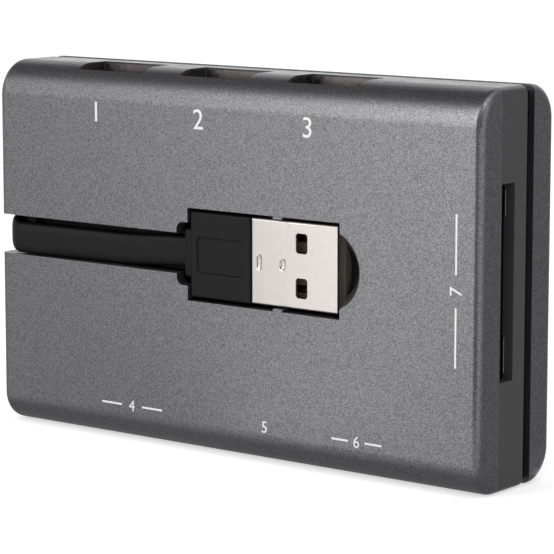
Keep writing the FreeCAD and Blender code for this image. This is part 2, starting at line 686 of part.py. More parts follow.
def chip(x, size):
    """Chip body with two rows of legs on the back of the board."""
    width, height = size
    d0, d1 = BOARD_BACK + CHIP_STAND, BOARD_BACK + CHIP_STAND + CHIP_THICK
    z = CHIP_FROM_BASE
    pieces = [block(x - width / 2, x + width / 2, d0, d1, z - height / 2, z + height / 2)]
    count = int((width - LEG_PITCH) / LEG_PITCH)
    reach = height / 2 + LEG_REACH
    for i in range(count):
        leg_x = x + (i - (count - 1) / 2) * LEG_PITCH
        pieces.append(block(leg_x - LEG_WIDTH / 2, leg_x + LEG_WIDTH / 2, BOARD_BACK, d0 + LEG_THICK,
                            z - reach, z + reach))
    return fuse(pieces)


def crystal():
    z = CHIP_FROM_BASE + CRYSTAL_ABOVE_CHIPS
    return tube_bar(-CRYSTAL_LENGTH / 2, CRYSTAL_LENGTH / 2, BOARD_BACK + CRYSTAL_THICK / 2, z,
                    CRYSTAL_THICK, CRYSTAL_WIDTH, CRYSTAL_ROUND)


def capacitors():
    length, width, thick = CAPACITOR_SIZE
    z = CHIP_FROM_BASE - CAPACITOR_BELOW_CHIPS
    places = [(i - (CAPACITOR_COUNT - 1) / 2) * CAPACITOR_PITCH for i in range(CAPACITOR_COUNT)]
    return Part.makeCompound([block(x - length / 2, x + length / 2, BOARD_BACK, BOARD_BACK + thick,
                                    z - width / 2, z + width / 2) for x in places])


def build():
    body = housing()
    sockets = card_sockets()
    board = main_board()
    lead_solid = lead()
    nodes = {
        "front_cover": front_cover(body, sockets),
        "mid_frame": mid_frame(body, sockets),
        "groove_ring": groove_ring(),
        "back_cover": back_cover(body),
        "lead_tray": lead_tray(),
        "main_board": board,
        "board_screws": board_screws(),
        "plug_shell": plug_shell(),
        "plug_insulator": plug_insulator(),
        "plug_contacts": plug_contacts(),
        "plug_overmould": plug_overmould(lead_solid),
        "lead": lead_solid,
        "lead_stop": lead_stop(lead_solid),
        "lead_wires": lead_wires(lead_solid, board),
        "hub_chip": chip(-CHIP_SPACING / 2, HUB_CHIP),
        "reader_chip": chip(CHIP_SPACING / 2, READER_CHIP),
        "crystal": crystal(),
        "capacitors": capacitors(),
    }
    for number, x in enumerate(PORT_CENTRES, 1):
        contacts = port_contacts(x)
        nodes["port_shell_%d" % number] = port_shell(x)
        nodes["port_tongue_%d" % number] = port_tongue(x, contacts)
        nodes["port_contacts_%d" % number] = contacts
    for socket in sockets:
        nodes[socket.name + "_socket_base"] = socket.base()
        nodes[socket.name + "_socket_cover"] = socket.cover()
        nodes[socket.name + "_socket_contacts"] = socket.springs()
    return nodes


def main():
    os.makedirs("parts", exist_ok=True)
    for name, shape in build().items():
        shape.exportStep("parts/%s.step" % name)
        print("%s: %d solid(s), %.1f mm3, valid %s"
              % (name, len(shape.Solids), shape.Volume, shape.isValid()))


main()
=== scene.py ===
# %% [markdown]
# A desk hub with a card reader, dressed for a studio picture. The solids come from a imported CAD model
# and stay where they are; this file gives them their finishes, adds the printed marks and sets up the
# camera and the light. Lengths are in metres, as everywhere in Blender, and mm turns millimetres into them.

# %% Load the frame
import json
import math

import bmesh
import bpy
import numpy as np
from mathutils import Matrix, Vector


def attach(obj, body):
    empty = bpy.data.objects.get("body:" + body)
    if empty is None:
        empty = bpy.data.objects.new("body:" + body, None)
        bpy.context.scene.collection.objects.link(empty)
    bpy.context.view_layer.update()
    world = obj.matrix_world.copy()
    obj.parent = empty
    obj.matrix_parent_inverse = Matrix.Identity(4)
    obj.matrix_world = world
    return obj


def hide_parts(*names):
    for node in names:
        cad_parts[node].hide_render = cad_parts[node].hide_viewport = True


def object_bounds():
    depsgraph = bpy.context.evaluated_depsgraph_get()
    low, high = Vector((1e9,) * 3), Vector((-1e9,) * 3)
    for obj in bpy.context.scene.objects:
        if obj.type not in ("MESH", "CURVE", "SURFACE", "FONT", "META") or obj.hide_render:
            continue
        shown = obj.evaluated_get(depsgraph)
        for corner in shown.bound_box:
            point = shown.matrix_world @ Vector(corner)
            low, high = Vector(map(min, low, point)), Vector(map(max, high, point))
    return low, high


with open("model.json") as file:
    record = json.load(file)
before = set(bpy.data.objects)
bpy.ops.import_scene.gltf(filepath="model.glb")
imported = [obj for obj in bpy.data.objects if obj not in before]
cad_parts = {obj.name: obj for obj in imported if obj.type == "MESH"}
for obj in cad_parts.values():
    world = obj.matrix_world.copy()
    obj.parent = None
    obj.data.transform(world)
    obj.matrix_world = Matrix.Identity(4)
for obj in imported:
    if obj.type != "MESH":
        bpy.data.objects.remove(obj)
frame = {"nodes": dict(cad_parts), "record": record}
cad_box = [list(corner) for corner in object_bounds()]
mm = 0.001


def sides(box):
    """Lengths of a box in millimetres: its highest corner less its lowest one."""
    return tuple((high - low) / mm for low, high in zip(*box))


print("hub %.1f x %.1f x %.1f mm" % sides(cad_box))

# %% [markdown]
# The picture is taken from the front right, a little above the hub, with a long lens, so that the box
# keeps nearly parallel edges. A camera could be aimed with a constraint; here its place and its two
# angles are written out, because a fitted view is easier to repeat from plain numbers.

# %% Camera
image_side = 554
focal_pixels = 2701.0
view_azimuth = math.radians(38.0)
view_drop = math.radians(8.80)
view_place = Vector((234.82, -297.29, 83.31)) * mm

camera_data = bpy.data.cameras.new("studio_camera")
camera_data.sensor_width = 36.0
camera_data.lens = camera_data.sensor_width * focal_pixels / image_side
camera = bpy.data.objects.new("studio_camera", camera_data)
camera.location = view_place
camera.rotation_euler = (math.pi / 2 - view_drop, 0.0, view_azimuth)
scene = bpy.context.scene
scene.collection.objects.link(camera)
scene.camera = camera
print("lens %.1f mm" % camera_data.lens)

# %% [markdown]
# The light of a product table starts with a white room. It could be a picture of a studio wrapped round
# the scene; an even white is plainer and puts no stray edges into the metal. Light Path lets the room look
# white to the camera and in reflections, while it lights the hub at a lower level.

# %% White room
room_light, room_white = 0.62, 1.0   # strength for ordinary rays and for the seen ones
scene.view_settings.view_transform = "Standard"


def seen_rays(tree):
    """1 for camera, glossy and transmission rays and 0 for the rest: their Light Path outputs added."""
    path = tree.nodes.new("ShaderNodeLightPath")
    total = path.outputs["Is Camera Ray"]
    for kind in ("Is Glossy Ray", "Is Transmission Ray"):
        add = tree.nodes.new("ShaderNodeMath")
        add.operation = "ADD"
        add.use_clamp = True
        tree.links.new(total, add.inputs[0])
        tree.links.new(path.outputs[kind], add.inputs[1])
        total = add.outputs[0]
    return total


def level(tree, rays, low, high):
    """Strength that is low for ordinary rays and high for the seen ones."""
    ramp = tree.nodes.new("ShaderNodeMapRange")
    ramp.inputs["To Min"].default_value = low
    ramp.inputs["To Max"].default_value = high
    tree.links.new(rays, ramp.inputs["Value"])
    return ramp.outputs["Result"]


world = bpy.data.worlds.new("white_room")
scene.world = world
world.use_nodes = True
tree = world.node_tree
tree.nodes.clear()
room = tree.nodes.new("ShaderNodeBackground")
room.inputs["Color"].default_value = (1.0, 1.0, 1.0, 1.0)
out = tree.nodes.new("ShaderNodeOutputWorld")
tree.links.new(level(tree, seen_rays(tree), room_light, room_white), room.inputs["Strength"])
tree.links.new(room.outputs[0], out.inputs["Surface"])
print("the room lights at %.2f and is seen at %.2f" % (room_light, room_white))

# %% [markdown]
# The table is one wide matt sheet. A studio would hang paper in a curve behind the hub; a sheet that glows
# a little for the seen rays melts into the white room from every side, and it keeps the hub's shadow. It
# lies a hair below the hub, so that no two faces share a plane.

# %% Pale floor
floor_tone, floor_glow = 0.88, 0.50  # colour of the sheet, and what it adds for the seen rays
floor_half = 3.0
floor_level = cad_box[0][2] - 0.05 * mm


def show(name, mesh, material):
    """Object for a finished mesh, with one material, linked to the scene."""
    mesh.materials.append(material)
    piece = bpy.data.objects.new(name, mesh)
    scene.collection.objects.link(piece)
    return piece


def flat_piece(name, middle, across, up, material):
    """Rectangle with its middle at a point, reaching across and up by two half sides."""
    middle, across, up = (np.array(v, float) for v in (middle, across, up))
    corners = middle + np.array([[-1, -1], [1, -1], [1, 1], [-1, 1]]) @ np.array([across, up])
    mesh = bpy.data.meshes.new(name)
    mesh.from_pydata(corners.tolist(), [], [[0, 1, 2, 3]])
    piece = show(name, mesh, material)
    return piece


def bare_material(name):
    """Material with nothing but an output; gives back the material, its node tree and that output."""
    material = bpy.data.materials.new(name)
    material.use_nodes = True
    tree = material.node_tree
    tree.nodes.clear()
    return material, tree, tree.nodes.new("ShaderNodeOutputMaterial")


floor_paint, tree, out = bare_material("pale_floor")
matt = tree.nodes.new("ShaderNodeBsdfDiffuse")
matt.inputs["Color"].default_value = (floor_tone, floor_tone, floor_tone, 1.0)
glow = tree.nodes.new("ShaderNodeEmission")
both = tree.nodes.new("ShaderNodeAddShader")
tree.links.new(level(tree, seen_rays(tree), 0.0, floor_glow), glow.inputs["Strength"])
tree.links.new(matt.outputs[0], both.inputs[0])
tree.links.new(glow.outputs[0], both.inputs[1])
tree.links.new(both.outputs[0], out.inputs["Surface"])
flat_piece("floor", (0, 0, floor_level), (floor_half, 0, 0), (0, floor_half, 0), floor_paint)
print("floor at %.2f mm" % (floor_level / mm))

# %% [markdown]
# A shiny thing shows what stands round it. Grey cards that only reflections see give the rounded top edge
# its dark zone and the right end its deeper tone, and those that lie on the table darken the hub's foot and
# its right edge. The two under the hub and at its foot are painted shadow: they stand in for the hub's shadow
# on the table, which the glowing floor leaves out of reflections. A studio paints boards for the rest. Here
# each card glows evenly, so its grey is one number.

# %% Reflection cards
def grey_card(name, brightness, middle, across, up):
    """Card of an even brightness that shows in reflections and nowhere else."""
    material, tree, out = bare_material(name)
    shine = tree.nodes.new("ShaderNodeEmission")
    shine.inputs["Strength"].default_value = brightness
    tree.links.new(shine.outputs[0], out.inputs["Surface"])
    card = flat_piece(name, middle, across, up, material)
    card.visible_camera = card.visible_diffuse = card.visible_shadow = False


lowest, middling, highest = (floor_level + step * mm for step in (0.1, 0.2, 0.3))   # layers on the table
cards = {                            # brightness, middle, half side across and half side up
    "card_above": (0.10, (-0.475, 0.04, 0.62), (0.625, 0, 0), (0, 0.46, 0)),
    "card_front": (0.12, (0.274, -0.752, 0.30), (0.47, 0.171, 0), (0, 0, 0.30)),
    "card_side": (0.12, (0.706, -0.376, 0.30), (0.07, 0.131, 0), (0, 0, 0.30)),
    "card_left": (0.20, (-0.779, -0.45, 0.225), (0.165, -0.286, 0), (0, 0, 0.225)),
    "card_back_right": (0.30, (0.45, 0.536, 0.40), (-0.284, 0.238, 0), (0, 0, 0.40)),
    "card_low_right": (0.30, (0.25, 0.36, middling), (0.205, 0, 0), (0, 0.38, 0)),
    "card_low_left": (0.52, (-0.42, -0.25, middling), (-0.283, -0.349, 0), (-0.136, 0.11, 0)),
    "card_low_near": (0.10, (0.0607, -0.1224, lowest), (0.0395, 0.0062, 0), (0.0133, -0.084, 0)),
    "card_low_front": (0.10, (0.1013, -0.3793, lowest), (0.1186, 0.0187, 0), (0.0273, -0.1729, 0)),
    # The next two cards are painted shadow: dark sheets under and in front of the hub's foot that stand in
    # for its shadow on the table, seen only in reflections.
    "card_painted_contact_shadow": (0.28, (0.0, -0.0025, highest), (0.13, 0, 0), (0, 0.0095, 0)),
    "card_painted_foot_shadow": (0.60, (0.0, -0.016, highest), (0.13, 0, 0), (0, 0.004, 0)),
}
for name, (brightness, middle, across, up) in cards.items():
    grey_card(name, brightness, middle, across, up)
print("%d reflection cards" % len(cards))

# %% [markdown]
# Two soft boxes add the highlights. A tall one at the left draws the bright streak along the top edge, and a
# small one high on the right catches the rounded corner there. Point lamps would give hard spots; an area
# lamp shows in the paint as a broad, soft band.

# %% Soft boxes
def soft_box(name, azimuth, elevation, distance, size, power):
    """Area lamp that looks at the hub from a direction; azimuth counts from the front to the right."""
    middle = (Vector(cad_box[0]) + Vector(cad_box[1])) / 2
    turn, lift = math.radians(azimuth), math.radians(elevation)
    towards = Vector((math.sin(turn) * math.cos(lift), -math.cos(turn) * math.cos(lift), math.sin(lift)))
    data = bpy.data.lights.new(name, "AREA")
    data.shape = "RECTANGLE"
    data.size, data.size_y = size
    data.energy = power
    lamp = bpy.data.objects.new(name, data)
    lamp.location = middle + towards * distance
    lamp.rotation_euler = (-towards).to_track_quat("-Z", "Y").to_euler()
    scene.collection.objects.link(lamp)
    lamp.visible_camera = False
    print("%s: %.1f W from %.2f m" % (name, power, distance))


soft_box("key_box", azimuth=-24.0, elevation=24.0, distance=1.20, size=(0.38, 1.07), power=6.0)
soft_box("corner_box", azimuth=66.0, elevation=58.0, distance=0.90, size=(0.34, 0.34), power=0.8)

# %% [markdown]
# Each finish is one small node tree. Trees could be drawn by hand in the shader editor; built from the same
# few helpers they stay short and alike. All read Object coordinates, so a grain keeps its real size on every
# piece, and a value that is the same all over is set straight on the shader.

# %% Material helpers
noise_low, noise_high = 0.3, 0.7     # most values of a noise lie between these two
tint_low, tint_high = 0.32, 0.68     # and these two end the slope from the dark tone to the light one


def new_finish(name, colour, roughness, metallic=0.0):
    """Material with one Principled shader; gives back the material, its shader and the object coordinates."""
    material, tree, out = bare_material(name)
    shader = tree.nodes.new("ShaderNodeBsdfPrincipled")
    shader.inputs["Base Color"].default_value = (*colour, 1.0)
    shader.inputs["Roughness"].default_value = roughness
    shader.inputs["Metallic"].default_value = metallic
    tree.links.new(shader.outputs[0], out.inputs["Surface"])
    where = tree.nodes.new("ShaderNodeTexCoord").outputs["Object"]
    return material, shader, where


def grain(material, where, size, detail=2.0):
    """Noise whose bumps are about one size across; gives back its value."""
    noise = material.node_tree.nodes.new("ShaderNodeTexNoise")
    noise.inputs["Scale"].default_value = 1.0 / size
    noise.inputs["Detail"].default_value = detail
    material.node_tree.links.new(where, noise.inputs["Vector"])
    return noise.outputs["Fac"]


def add_bump(material, shader, height, strength, distance):
    """Raise the surface by a height value."""
    bump = material.node_tree.nodes.new("ShaderNodeBump")
    bump.inputs["Strength"].default_value = strength
    bump.inputs["Distance"].default_value = distance
    material.node_tree.links.new(height, bump.inputs["Height"])
    material.node_tree.links.new(bump.outputs["Normal"], shader.inputs["Normal"])


def spread(material, value, socket, low, high):
    """Feed a noise value to a socket, stretched from the noise's own range to another one."""
    ramp = material.node_tree.nodes.new("ShaderNodeMapRange")
    ramp.inputs["From Min"].default_value = noise_low
    ramp.inputs["From Max"].default_value = noise_high
    ramp.inputs["To Min"].default_value = low
    ramp.inputs["To Max"].default_value = high
    material.node_tree.links.new(value, ramp.inputs["Value"])
    material.node_tree.links.new(ramp.outputs["Result"], socket)


def tint(material, shader, value, dark, light):
    """Vary the base colour between two tones by a noise value."""
    ramp = material.node_tree.nodes.new("ShaderNodeValToRGB")
    ends = ramp.color_ramp.elements
    ends[0].position, ends[0].color = tint_low, (*dark, 1.0)
    ends[1].position, ends[1].color = tint_high, (*light, 1.0)
    material.node_tree.links.new(value, ramp.inputs["Fac"])
    material.node_tree.links.new(ramp.outputs["Color"], shader.inputs["Base Color"])


# %% [markdown]
# The two covers carry a metallic spray paint over a fine moulded texture. Up close it is a field of tiny
# flakes, each turned its own way. A Voronoi pattern could draw single flakes; at this size a rough metal
# whose tone and height follow one noise, of about a sixth of a millimetre, looks the same and is simpler.

# %% Metallic paint
def metallic_paint():
    """Rough metal; one fine noise is both the tone of a flake and its height."""
    material, shader, where = new_finish("metallic_grey_paint", (0.19, 0.188, 0.197),
                                         roughness=0.36, metallic=0.9)
    flakes = grain(material, where, size=0.16 * mm, detail=3.0)
    tint(material, shader, flakes, dark=(0.10, 0.0985, 0.1045), light=(0.29, 0.287, 0.30))
    add_bump(material, shader, flakes, strength=0.65, distance=0.03 * mm)
    return material


finishes = {"grey_paint": metallic_paint()}
print("finishes: " + ", ".join(finishes))

# %% [markdown]
# The plastics differ mostly in their gloss. The middle frame is smooth and mirrors its surroundings softly,
# the tray and the ring are a satin black, and the lead and its overmould are vinyl, which is duller. Plain
# colours would look like toys, so a noise moves the roughness or the tone of each, and where light grazes a
# face it has a faint relief too.

# %% Plastics
def smooth_frame_plastic():
    """Dark grey with a slow drift in its roughness and a shallow, wide wave in its face."""
    material, shader, where = new_finish("smooth_dark_grey", (0.062, 0.062, 0.065), roughness=0.22)
    drift, wave = grain(material, where, size=4.0 * mm), grain(material, where, size=1.5 * mm, detail=1.0)
    spread(material, drift, shader.inputs["Roughness"], low=0.18, high=0.28)
    add_bump(material, shader, wave, strength=0.04, distance=0.05 * mm)
    return material


def black_plastic():
    """Black with a weak mirror; one fine noise is both its roughness and its relief."""
    material, shader, where = new_finish("satin_black_plastic", (0.004, 0.004, 0.004), roughness=0.35)
    shader.inputs["Specular IOR Level"].default_value = 0.13
    fine = grain(material, where, size=0.2 * mm)
    spread(material, fine, shader.inputs["Roughness"], low=0.33, high=0.5)
    add_bump(material, shader, fine, strength=0.15, distance=0.02 * mm)
    return material


def black_vinyl():
    """Like the black plastic, but rougher and with a coarser relief."""
    material, shader, where = new_finish("black_vinyl", (0.005, 0.005, 0.005), roughness=0.45)
    shader.inputs["Specular IOR Level"].default_value = 0.2
    fine = grain(material, where, size=0.25 * mm)
    spread(material, fine, shader.inputs["Roughness"], low=0.42, high=0.6)
    add_bump(material, shader, fine, strength=0.2, distance=0.02 * mm)
    return material


def pale_plastic():
    """Grey, darker than the pale insulator is, as painted shade for the plug's mouth; its tone drifts a
    little with a fine noise.
    """
    material, shader, where = new_finish("insulator_with_painted_shade", (0.29, 0.255, 0.23), roughness=0.45)
    fine = grain(material, where, size=0.3 * mm)
    tint(material, shader, fine, dark=(0.265, 0.235, 0.21), light=(0.315, 0.275, 0.25))
    return material


finishes.update(smooth_grey=smooth_frame_plastic(), black_plastic=black_plastic(),
                black_vinyl=black_vinyl(), pale_plastic=pale_plastic())
print("finishes: " + ", ".join(finishes))

# %% [markdown]
# The metals are pale nickel on the shells of plug and ports, duller steel on the card sockets, the screws and
# the sleeves in the openings, and gold on the contacts. The steel is much darker than plating is, because its
# colour also carries painted shade: the dark that fills the deep port openings. A metal's colour is that of
# its mirror, so it goes into the base colour with Metallic at 1. A cloud of noise moves tone and roughness,
# as plating and handling do; scratches would be too small to see here.

# %% Metals
def nickel_plate():
    """Bright metal; one cloud of noise is both its tone, between two near ones, and its roughness."""
    material, shader, where = new_finish("nickel_plate", (0.62, 0.577, 0.551), roughness=0.28, metallic=1.0)
    cloud = grain(material, where, size=0.8 * mm, detail=3.0)
    tint(material, shader, cloud, dark=(0.61, 0.567, 0.541), light=(0.63, 0.587, 0.561))
    spread(material, cloud, shader.inputs["Roughness"], low=0.27, high=0.30)
    return material


def steel_darkened_for_shade():
    """Like the nickel, but darker as painted shade for the port openings, and with more contrast in its
    cloud.
    """
    material, shader, where = new_finish("steel_darkened_for_shade", (0.205, 0.18, 0.17), roughness=0.32, metallic=1.0)
    cloud = grain(material, where, size=0.8 * mm, detail=4.0)
    tint(material, shader, cloud, dark=(0.185, 0.163, 0.152), light=(0.225, 0.20, 0.188))
    spread(material, cloud, shader.inputs["Roughness"], low=0.26, high=0.4)
    return material


def contact_gold():
    """Gold of one tone whose roughness follows a noise."""
    material, shader, where = new_finish("contact_gold", (0.80, 0.58, 0.24), roughness=0.28, metallic=1.0)
    cloud = grain(material, where, size=0.5 * mm)
    spread(material, cloud, shader.inputs["Roughness"], low=0.2, high=0.36)
    return material


finishes.update(nickel_plate=nickel_plate(), steel=steel_darkened_for_shade(), contact_gold=contact_gold())
print("finishes: " + ", ".join(finishes))

# %% [markdown]
# Inside lie the green board, its chips, small ceramic blocks and the lead's wires. Little of them shows
# through the openings, and a full board texture would be wasted. Each has the tone of its stuff and one grain
# at the right scale: glass weave under lacquer, sanded resin, fired clay, drawn plastic.

# %% Board, chips and wires
def board_lacquer():
    """Green whose tone and relief both follow one noise as coarse as the weave."""
    material, shader, where = new_finish("board_lacquer", (0.02, 0.13, 0.05), roughness=0.35)
    weave = grain(material, where, size=0.6 * mm)
    tint(material, shader, weave, dark=(0.016, 0.11, 0.04), light=(0.026, 0.16, 0.06))
    add_bump(material, shader, weave, strength=0.1, distance=0.02 * mm)
    return material


def chip_resin():
    """Dull black whose tone and relief both follow one very fine noise."""
    material, shader, where = new_finish("chip_resin", (0.025, 0.025, 0.027), roughness=0.6)
    fine = grain(material, where, size=0.12 * mm)
    tint(material, shader, fine, dark=(0.018, 0.018, 0.02), light=(0.035, 0.035, 0.037))
    add_bump(material, shader, fine, strength=0.2, distance=0.01 * mm)
    return material


def tan_ceramic():
    """Tan whose tone follows a fine noise."""
    material, shader, where = new_finish("tan_ceramic", (0.42, 0.29, 0.17), roughness=0.55)
    fine = grain(material, where, size=0.3 * mm)
    tint(material, shader, fine, dark=(0.36, 0.25, 0.14), light=(0.48, 0.34, 0.2))
    return material


def wire_skin():
    """Red plastic of one tone whose roughness follows a noise."""
    material, shader, where = new_finish("wire_skin", (0.45, 0.03, 0.03), roughness=0.45)
    fine = grain(material, where, size=0.3 * mm)
    spread(material, fine, shader.inputs["Roughness"], low=0.38, high=0.52)
    return material


finishes.update(board_green=board_lacquer(), chip_black=chip_resin(),
                tan_ceramic=tan_ceramic(), wire_skin=wire_skin())
print("finishes: " + ", ".join(finishes))

# %% [markdown]
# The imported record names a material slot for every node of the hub. The finishes could be assigned piece by
# piece; one table from slot to finish dresses all nodes in a single loop, and none is forgotten.

# %% Dress the nodes
slots = {part["node"]: part["material_slot"] for part in frame["record"]["subparts"]}
for node, slot in slots.items():
    mesh = frame["nodes"][node].data
    mesh.materials.clear()
    mesh.materials.append(finishes[slot])
print("%d nodes dressed with %d finishes" % (len(frame["nodes"]), len(finishes)))

# %% [markdown]
# The front cover's top edge is a generous round, a little wider than in the solid, which shows in the width
# of the streak along it. The edge could be bevelled anew; sliding the points that are there keeps every
# opening in it. Each point near the edge moves along a ray from the wide round's middle, and the ray also
# tells how far out the old surface was: on the narrow round or on one of the flat faces beside it.

# %% Wider round on the top edge
front, top = cad_box[0][1], cad_box[1][2]
solid_round, edge_round = 4.4 * mm, 5.1 * mm     # radius of the top edge in the solid and in the skin
shift = edge_round - solid_round                 # the two middles lie this far apart, both in y and in z
skin_depth = 1.45 * mm                           # what lies deeper than this belongs to the inside
tiny = 1e-9                                      # keeps a division off zero, and evens out rounding


def points_of(mesh):
    """All points of a mesh as one array with the rows x, y, z."""
    place = np.empty(len(mesh.vertices) * 3)
    mesh.vertices.foreach_get("co", place)
    return place.reshape(-1, 3)


def widen_top_edge(mesh):
    """Slide points along their rays by the wide radius less the old surface's distance on that ray.

    On the narrow round that distance is the larger root of a circle's equation, and on a flat face it is
    the wide radius over the ray's part towards that face.
    """
    place = points_of(mesh)
    ray = place[:, 1:] - np.array([front + edge_round, top - edge_round])
    away = np.linalg.norm(ray, axis=1)
    ahead, up = np.maximum(ray / away[:, None] * np.array([-1, 1]), tiny).T
    lean = shift * (ahead + up)
    old = lean + np.sqrt(lean ** 2 + solid_round ** 2 - 2 * shift ** 2)
    old = np.where(edge_round * up / ahead < shift, edge_round / ahead, old)
    old = np.where(edge_round * ahead / up < shift, edge_round / up, old)
    moved = (ray[:, 0] < 0) & (ray[:, 1] > 0) & (old - away < skin_depth)
    slide = np.where(moved, edge_round - old, 0.0)
    place[:, 1:] += ray / away[:, None] * slide[:, None]
    mesh.vertices.foreach_set("co", place.ravel())
    print("%d points of the top edge moved by up to %.2f mm" % (moved.sum(), -slide.min() / mm))


print("the two rounds part by up to %.2f mm" % (shift * (math.sqrt(2) - 1) / mm))

# %% [markdown]
# A press has left two small dents in the plug's nickel sheet, which hold its inside in place. Bump in the
# material could fake them, but they would look flat from the side. They are real shape: the sheet's skin is
# cut into a fine grid round them, and the points of its outer face go in along a soft step at the edge of a
# superellipse.

# %% Pressed dents in the plug shell
park = 28.35 * mm                    # height of the plug's middle
shell_face = front + 0.75 * mm
face_reach = 0.01 * mm               # points this near to the outer face belong to it
dent_z = park - 0.1 * mm
dents = (                            # x, width, height and depth
    (5.65 * mm, 0.95 * mm, 2.3 * mm, 0.16 * mm),
    (9.75 * mm, 1.05 * mm, 1.7 * mm, 0.24 * mm),
)
dent_edge, dent_soft = 0.75, 0.5     # middle and width of the step, where 1 is the superellipse's own edge


def soft_step(distance, width):
    """0 inside an edge and 1 outside it, along a smooth cubic of the given width."""
    t = np.clip(distance / width + 0.5, 0, 1)
    return t * t * (3 - 2 * t)


def press_dents(mesh):
    """Outer points move in by the depth, less a soft step of the superellipse's own radius at its edge."""
    place = points_of(mesh)
    outer = np.abs(place[:, 1] - shell_face) < face_reach
    for x, wide, tall, deep in dents:
        away = ((2 * (place[:, 0] - x) / wide) ** 4 + (2 * (place[:, 2] - dent_z) / tall) ** 4) ** 0.25
        place[:, 1] += np.where(outer, deep * (1 - soft_step(away - dent_edge, dent_soft)), 0.0)
    mesh.vertices.foreach_set("co", place.ravel())


print("%d dents, the deepest %.2f mm" % (len(dents), max(dent[3] for dent in dents) / mm))

# %% [markdown]
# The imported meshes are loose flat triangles, good for measuring but faceted in a picture. They could be
# modelled again as clean quads; merging a copy of each moulded piece into one skin is surer to keep its
# shape. Creases stay where two faces meet at a clear angle, a small bevel softens two rims that catch the
# light, and a Weighted Normal modifier lets the large flat faces rule, so that every round reads as a round.

# %% Smooth skins for the moulded pieces
merge_reach, touch = 0.0005 * mm, 0.001 * mm     # points this near are one, or lie on the same plane
flat_angle, crease = math.radians(0.3), math.radians(28.0)
edge_cuts = 3                                    # new rows of points for the wider round
row_reach, row_count = 0.56, 33                  # grid over the dents, as a share of their height
column_reach, column_count = 0.63, 21            # and of their width, a little past the edge
rim_segments = 3
soft_rims = {"front_cover": (front, 0.32 * mm), "plug_shell": (shell_face, 0.10 * mm)}   # y and width
reshaped = {"front_cover": widen_top_edge, "plug_shell": press_dents}


def cut_across(skin, axis, places):
    """Give a skin new points where planes across an axis meet it."""
    normal = np.eye(3)[axis]
    for place in places:
        bmesh.ops.bisect_plane(skin, geom=skin.verts[:] + skin.edges[:] + skin.faces[:], dist=touch,
                               plane_co=normal * place, plane_no=normal)


def merged_copy(node):
    """One skin from a node's triangles, with near points merged, and cut where it will be reshaped."""
    skin = bmesh.new()
    skin.from_mesh(frame["nodes"][node].data)
    bmesh.ops.remove_doubles(skin, verts=skin.verts, dist=merge_reach)
    if node in soft_rims:
        bmesh.ops.dissolve_limit(skin, angle_limit=flat_angle, verts=skin.verts, edges=skin.edges)
    if node == "front_cover":
        cut_across(skin, 2, np.linspace(top - edge_round, top - solid_round, edge_cuts, endpoint=False))
    if node == "plug_shell":
        tallest = max(dent[2] for dent in dents)
        cut_across(skin, 2, dent_z + np.linspace(-row_reach, row_reach, row_count) * tallest)
        for x, wide, *_ in dents:
            cut_across(skin, 0, x + np.linspace(-column_reach, column_reach, column_count) * wide)
    return skin


def mark_edges(skin, node):
    """Sharp from the crease angle on; sharp edges on a soft rim's plane also get the full bevel weight."""
    for face in skin.faces:
        face.smooth = True
    for edge in skin.edges:
        edge.smooth = edge.calc_face_angle(math.pi) < crease
    if node in soft_rims:
        rim_y = soft_rims[node][0]
        weight = skin.edges.layers.float.new("bevel_weight_edge")
        for edge in skin.edges:
            on_rim = all(abs(point.co.y - rim_y) < touch for point in edge.verts)
            edge[weight] = float(on_rim and not edge.smooth)


def smooth_skin(node):
    """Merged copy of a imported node, shaded smooth up to the crease angle, that stands for the node."""
    skin = merged_copy(node)
    mark_edges(skin, node)
    mesh = bpy.data.meshes.new(node + "_skin")
    skin.to_mesh(mesh)
    skin.free()
    piece = show(node + "_skin", mesh, finishes[slots[node]])
    if node in reshaped:
        reshaped[node](mesh)
    if node in soft_rims:
        soft_rim = piece.modifiers.new("soft_rim", "BEVEL")
        soft_rim.limit_method = "WEIGHT"
        soft_rim.width = soft_rims[node][1]
        soft_rim.segments = rim_segments
    normals = piece.modifiers.new("flat_faces_rule", "WEIGHTED_NORMAL")
    normals.keep_sharp = True
    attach(piece, "root")
    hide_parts(node)
    print("%s: %d points" % (piece.name, len(mesh.vertices)))


for node in ("front_cover", "mid_frame", "back_cover", "lead_tray", "plug_shell"):
    smooth_skin(node)

# %% [markdown]
# Shapes of its own come next: lead, overmould, sleeves and lips. Each is a stack of closed rings, row after
# row of points round a section, worked out as one numpy array. A curve with a bevel could carry a section
# too, but not one that changes on its way. One helper turns such a stack into a mesh, with faces between
# neighbouring rings and a cap at both ends. A positive volume tells that the faces point outwards.

# %% Skin over a stack of rings
sharp_from = math.radians(40.0)


def skin_over(name, rings, material, looped=False):
    """Closed mesh from rings (ring, point, xyz): quads between neighbours, and caps or a join at the ends."""
    if looped:
        rings = np.concatenate([rings, rings[:1]])
    ring_count, point_count = rings.shape[:2]
    index = np.arange(ring_count * point_count).reshape(ring_count, point_count)
    onward = np.roll(index, -1, axis=1)
    quads = np.stack([index[:-1], onward[:-1], onward[1:], index[1:]], axis=-1).reshape(-1, 4)
    if looped:
        rings, quads = rings[:-1], quads % index[-1, 0]
    faces = quads.tolist() + ([] if looped else [index[0][::-1].tolist(), index[-1].tolist()])
    corner = rings.reshape(-1, 3)[quads]
    areas = np.cross(corner[:, 2] - corner[:, 0], corner[:, 3] - corner[:, 1])
    if ((corner.mean(1) - rings.mean((0, 1))) * areas).sum() < 0:
        faces = [face[::-1] for face in faces]
    mesh = bpy.data.meshes.new(name)
    mesh.from_pydata(rings.reshape(-1, 3).tolist(), [], faces)
    mesh.polygons.foreach_set("use_smooth", np.ones(len(mesh.polygons), bool))
    mesh.set_sharp_from_angle(angle=sharp_from)
    piece = show(name, mesh, material)
    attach(piece, "root")
    print("%s: %d points" % (name, len(mesh.vertices)))
    return piece


